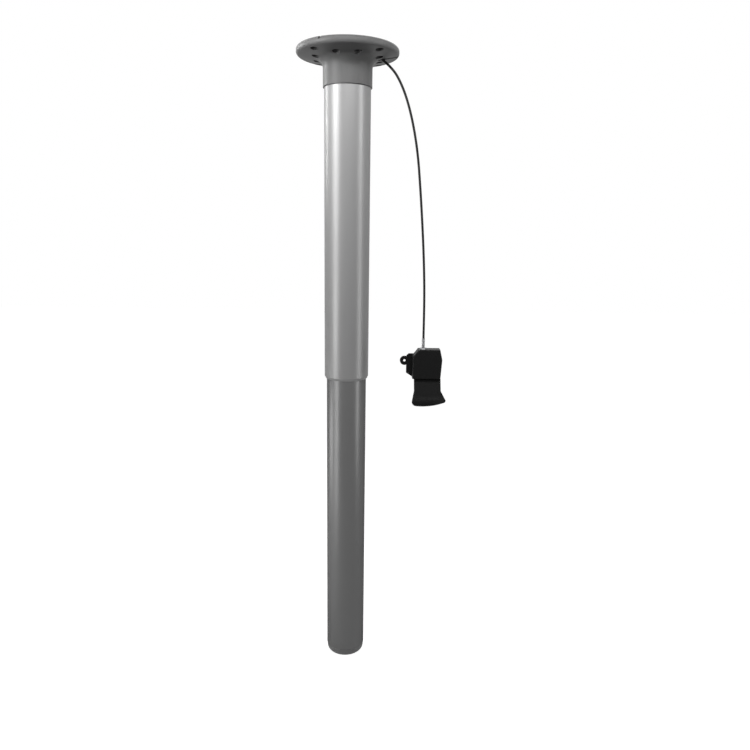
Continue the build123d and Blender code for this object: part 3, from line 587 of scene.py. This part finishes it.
class LEG_OT_stage(bpy.types.Operator):
    """Sets up the camera, the lamps, the world and the floor"""

    bl_idname = "leg.stage"
    bl_label = "Stage"

    def execute(self, context):
        settings = context.scene.leg_stage
        self.add_camera(context)
        self.add_floor(context, settings)
        self.add_world(context)
        for name, place, aim, size, spread, power in self.lamps():
            self.add_lamp(context, name, place, aim, size, spread, power * settings.light)
        context.scene.view_settings.view_transform = "Standard"
        return {"FINISHED"}

    def add_camera(self, context):
        turn = math.radians(CAMERA_TURN)
        down = math.radians(CAMERA_DOWN)
        roll = math.radians(CAMERA_ROLL)
        flat = math.cos(down)
        ahead = Vector((math.sin(turn) * flat, math.cos(turn) * flat, -math.sin(down)))
        level = Vector((math.cos(turn), -math.sin(turn), 0.0))
        below = ahead.cross(level)
        right = math.cos(roll) * level + math.sin(roll) * below
        under = math.cos(roll) * below - math.sin(roll) * level
        data = bpy.data.cameras.new("photo_camera")
        data.sensor_width = SENSOR_WIDTH
        data.lens = SENSOR_WIDTH * FOCAL_SHARE
        camera = bpy.data.objects.new("photo_camera", data)
        context.scene.collection.objects.link(camera)
        turned = Matrix((right, -under, -ahead)).transposed().to_4x4()
        camera.matrix_world = Matrix.Translation(CAMERA_PLACE) @ turned
        context.scene.camera = camera

    def add_floor(self, context, settings):
        mesh = bpy.data.meshes.new("studio_floor")
        corners = [(x * FLOOR_HALF, y * FLOOR_HALF, 0) for x, y in FLOOR_CORNERS]
        mesh.from_pydata(corners, [], [(0, 1, 2, 3)])
        floor = bpy.data.objects.new("studio_floor", mesh)
        context.scene.collection.objects.link(floor)
        finish = Finish("floor_paper")
        cloud = finish.noise(size=0.5, detail=2.0)
        paper = finish.mix(cloud, grey(settings.floor, 0.995), grey(settings.floor, 1.005))
        seen_floor = grey(settings.floor, FLOOR_LIFT)
        glow = finish.mix(finish.seen(), grey(settings.floor, 0.0), seen_floor)
        material = finish.close(
            Base_Color=paper,
            Roughness=0.9,
            Specular_IOR_Level=0.0,
            Emission_Color=glow,
            Emission_Strength=1.0,
        )
        mesh.materials.append(material)

    def add_world(self, context):
        world = bpy.data.worlds.new("studio_world")
        world.use_nodes = True
        finish = Finish("studio_world", world.node_tree)
        strength = finish.seen() * (1.0 - WORLD_LIGHT) + WORLD_LIGHT
        sky = finish.node(
            "ShaderNodeBackground", None, {"Color": (1, 1, 1, 1), "Strength": strength}
        )
        finish.node("ShaderNodeOutputWorld", None, {"Surface": sky})
        context.scene.world = world

    def lamps(self):
        """Each lamp's name, place, aim, (width, height), spread in degrees and power."""
        return [
            ("key_high", (-0.62, -0.40, 1.2), (0.0, 0.0, 1.15), (0.4, 0.3), 80, 1.8),
            ("key_middle", (-0.62, -0.40, 0.9), (0.0, 0.0, 0.9), (0.4, 0.3), 80, 0.8),
            ("key_low", (-0.62, -0.40, 0.55), (0.0, 0.0, 0.55), (0.34, 0.3), 50, 0.28),
            ("key_foot", (-0.62, -0.40, 0.2), (0.0, 0.0, 0.2), (0.34, 0.3), 50, 0.32),
            ("side_low", (-0.80, 0.10, 0.2), (0.0, 0.0, 0.28), (0.4, 0.25), 45, 0.2),
            ("front", (0.15, -0.60, 1.35), (0.0, 0.0, 1.02), (0.8, 0.2), 90, 2.1),
            ("right_high", (0.72, -0.27, 1.15), (0.0, 0.0, 1.1), (0.2, 0.4), 80, 0.5),
            ("right_low", (0.72, -0.27, 0.55), (0.0, 0.0, 0.55), (0.2, 0.8), 80, 0.6),
            ("rim", (-0.80, 0.45, 1.2), (0.0, 0.0, 1.1), (0.08, 0.5), 80, 1.1),
            ("back_left", (-0.40, 0.90, 1.9), (0.0, 0.0, 0.9), (1.0, 1.0), 100, 2.6),
            ("back_right", (0.40, 0.90, 1.9), (0.0, 0.0, 0.9), (1.0, 1.0), 100, 2.6),
        ]

    def add_lamp(self, context, name, place, aim, size, spread, power):
        data = bpy.data.lights.new(name, "AREA")
        data.shape = "RECTANGLE"
        data.size, data.size_y = size
        data.spread = math.radians(spread)
        data.energy = power
        lamp = bpy.data.objects.new(name, data)
        context.scene.collection.objects.link(lamp)
        lamp.visible_camera = False
        lamp.location = place
        lamp.rotation_euler = (Vector(aim) - Vector(place)).to_track_quat("-Z", "Y").to_euler()


class LEG_OT_cable(bpy.types.Operator):
    """Hangs the release cable from the flange to the handle"""

    bl_idname = "leg.cable"
    bl_label = "Release Cable"

    def execute(self, context):
        settings = context.scene.leg_cable
        curve = bpy.data.curves.new("release_cable_jacket", "CURVE")
        curve.dimensions = "3D"
        curve.bevel_depth = settings.diameter / 2
        curve.bevel_resolution = 6
        curve.resolution_u = 16
        curve.use_fill_caps = True
        spline = curve.splines.new("NURBS")
        spline.points.add(len(CABLE_ROUTE) - 1)
        for point, (x, z) in zip(spline.points, CABLE_ROUTE):
            point.co = (x, 0.0, z, 1.0)
        spline.order_u = 3
        spline.use_endpoint_u = True
        spline.use_smooth = True
        jacket = bpy.data.objects.new("release_cable_jacket", curve)
        context.scene.collection.objects.link(jacket)
        black = moulded_plastic(
            "cable_jacket", settings.jacket, roughness=0.36, specular=0.12, grain_depth=4e-6
        )
        curve.materials.append(black)
        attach(jacket, "upper_column")
        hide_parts("release_cable")
        x, z = CABLE_ROUTE[0]
        dress(black, "cable_lead_in")
        return {"FINISHED"}


class LEG_OT_threads(bpy.types.Operator):
    """Winds the threads of the cable's two adjusters"""

    bl_idname = "leg.threads"
    bl_label = "Adjuster Threads"

    def execute(self, context):
        settings = context.scene.leg_thread
        plated = thread_metal_root_shade("thread_zinc", grey(settings.plating, 1.0), roughness=0.3)
        shape = threaded_barrel(plated)
        for node, axis, turn in (
            ("handle_adjuster", 2, (0.0, 0.0, 0.0)),
            ("cable_adjuster", 0, (0.0, math.pi / 2, 0.0)),
        ):
            low, high = (Vector(corner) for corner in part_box(node))
            start = (low + high) / 2
            start[axis] = low[axis]
            values = {
                "Radius": (high.y - low.y) / 2,
                "Depth": settings.depth,
                "Pitch": settings.pitch,
                "Bore": settings.bore,
                "Length": high[axis] - low[axis],
                "Turn": turn,
                "Place": start,
            }
            piece = shape.build(context, f"{node}_thread", values)
            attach(piece, "upper_column")
            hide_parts(node)
        return {"FINISHED"}


class LEG_OT_column(bpy.types.Operator):
    """Finishes the tubes, the flange and the foot"""

    bl_idname = "leg.column"
    bl_label = "Column"

    def execute(self, context):
        colours = context.scene.leg_finish
        upper = satin_metal(
            "upper_satin", colours.upper_tube, roughness=0.36, metallic=0.3, edge=0.3
        )
        # The inner tube's darker grey is partly its own finish and partly painted shade, for the
        # light falling off down the column
        lower = satin_metal(
            "lower_satin", colours.lower_tube, roughness=0.34, metallic=0.5, edge=0.1
        )
        flange = coated_casting("flange_coating", colours.coating, roughness=0.44, metallic=0.1)
        foot = coated_casting("foot_coating", colours.foot, roughness=0.4, metallic=0.3)
        dress(upper, "upper_tube")
        dress(lower, "lower_tube")
        dress(flange, "top_flange")
        dress(foot, "foot_cap")
        return {"FINISHED"}


class LEG_OT_inside(bpy.types.Operator):
    """Finishes the guides, the gas spring and the release mechanism"""

    bl_idname = "leg.inside"
    bl_label = "Inside"

    def execute(self, context):
        pale = moulded_plastic("guide_plastic", (0.62, 0.61, 0.58), roughness=0.4)
        dress(pale, "guide_bush", "guide_ring", "centring_ring")
        dress(rubber("buffer_rubber", (0.02, 0.02, 0.02)), "extension_buffer", "lowering_buffer")
        dress(rubber("seal_rubber", (0.015, 0.015, 0.016)), "rod_seal", "rod_wiper", "piston_seal")
        dress(rubber("grommet_rubber", (0.018, 0.018, 0.018)), "floating_seal", "cable_grommet")
        black = coated_casting("spring_black", (0.02, 0.02, 0.021), roughness=0.35, metallic=0.0)
        dress(black, "cylinder_tube", "cylinder_base")
        chrome = machined_metal("rod_chrome", (0.72, 0.72, 0.73), roughness=0.14)
        dress(chrome, "piston_rod", "release_pin")
        bare = machined_metal("bare_aluminium", (0.4, 0.4, 0.41), roughness=0.4)
        dress(bare, "piston", "floating_piston", "release_head", "rod_gland", "valve_plunger")
        zinc = machined_metal("zinc_steel", (0.28, 0.28, 0.29), roughness=0.42)
        dress(zinc, "base_bolt", "base_washer", "rod_lock_nut", "head_screws", "plate_screws")
        dress(zinc, "carrier_plate", "release_lever", "lever_pivot_pin", "lever_wire_end")
        dress(zinc, "cable_adjuster_nut")
        return {"FINISHED"}


class LEG_OT_handle(bpy.types.Operator):
    """Finishes the squeeze handle and its adjuster"""

    bl_idname = "leg.handle"
    bl_label = "Handle"

    def execute(self, context):
        colours = context.scene.leg_finish
        black = moulded_plastic("handle_plastic", colours.handle, roughness=0.45, specular=0.08)
        dress(black, "handle_body", "handle_back_plate", "handle_paddle")
        zinc = machined_metal("handle_zinc", (0.4, 0.4, 0.41), roughness=0.34)
        dress(zinc, "handle_adjuster_nut", "handle_wire_end")
        dress(zinc, "handle_pivot_pin", "handle_plate_screws")
        return {"FINISHED"}


class LEG_PT_panel(bpy.types.Panel):
    """Lists the leg's steps and settings"""

    bl_label = "Desk Leg"
    bl_idname = "LEG_PT_panel"
    bl_space_type = "VIEW_3D"
    bl_region_type = "UI"
    bl_category = "Desk Leg"

    def draw(self, context):
        for step in STEPS:
            self.layout.operator(step.bl_idname)
        for group, settings in SETTINGS.items():
            box = self.layout.box()
            for name in settings.__annotations__:
                box.prop(getattr(context.scene, group), name)


STEPS = (LEG_OT_stage, LEG_OT_cable, LEG_OT_threads, LEG_OT_column, LEG_OT_inside, LEG_OT_handle)
SETTINGS = {
    "leg_cable": CableSettings,
    "leg_thread": ThreadSettings,
    "leg_finish": FinishSettings,
    "leg_stage": StageSettings,
}


def register():
    for group, settings in SETTINGS.items():
        bpy.utils.register_class(settings)
        setattr(bpy.types.Scene, group, bpy.props.PointerProperty(type=settings))
    for step in STEPS:
        bpy.utils.register_class(step)
    bpy.utils.register_class(LEG_PT_panel)


def unregister():
    bpy.utils.unregister_class(LEG_PT_panel)
    for step in reversed(STEPS):
        bpy.utils.unregister_class(step)
    for group, settings in SETTINGS.items():
        delattr(bpy.types.Scene, group)
        bpy.utils.unregister_class(settings)


def main():
    """Dresses the leg."""
    register()
    bpy.ops.leg.stage()
    bpy.ops.leg.cable()
    bpy.ops.leg.threads()
    bpy.ops.leg.column()
    bpy.ops.leg.inside()
    bpy.ops.leg.handle()


if __name__ == "__main__":
    main()
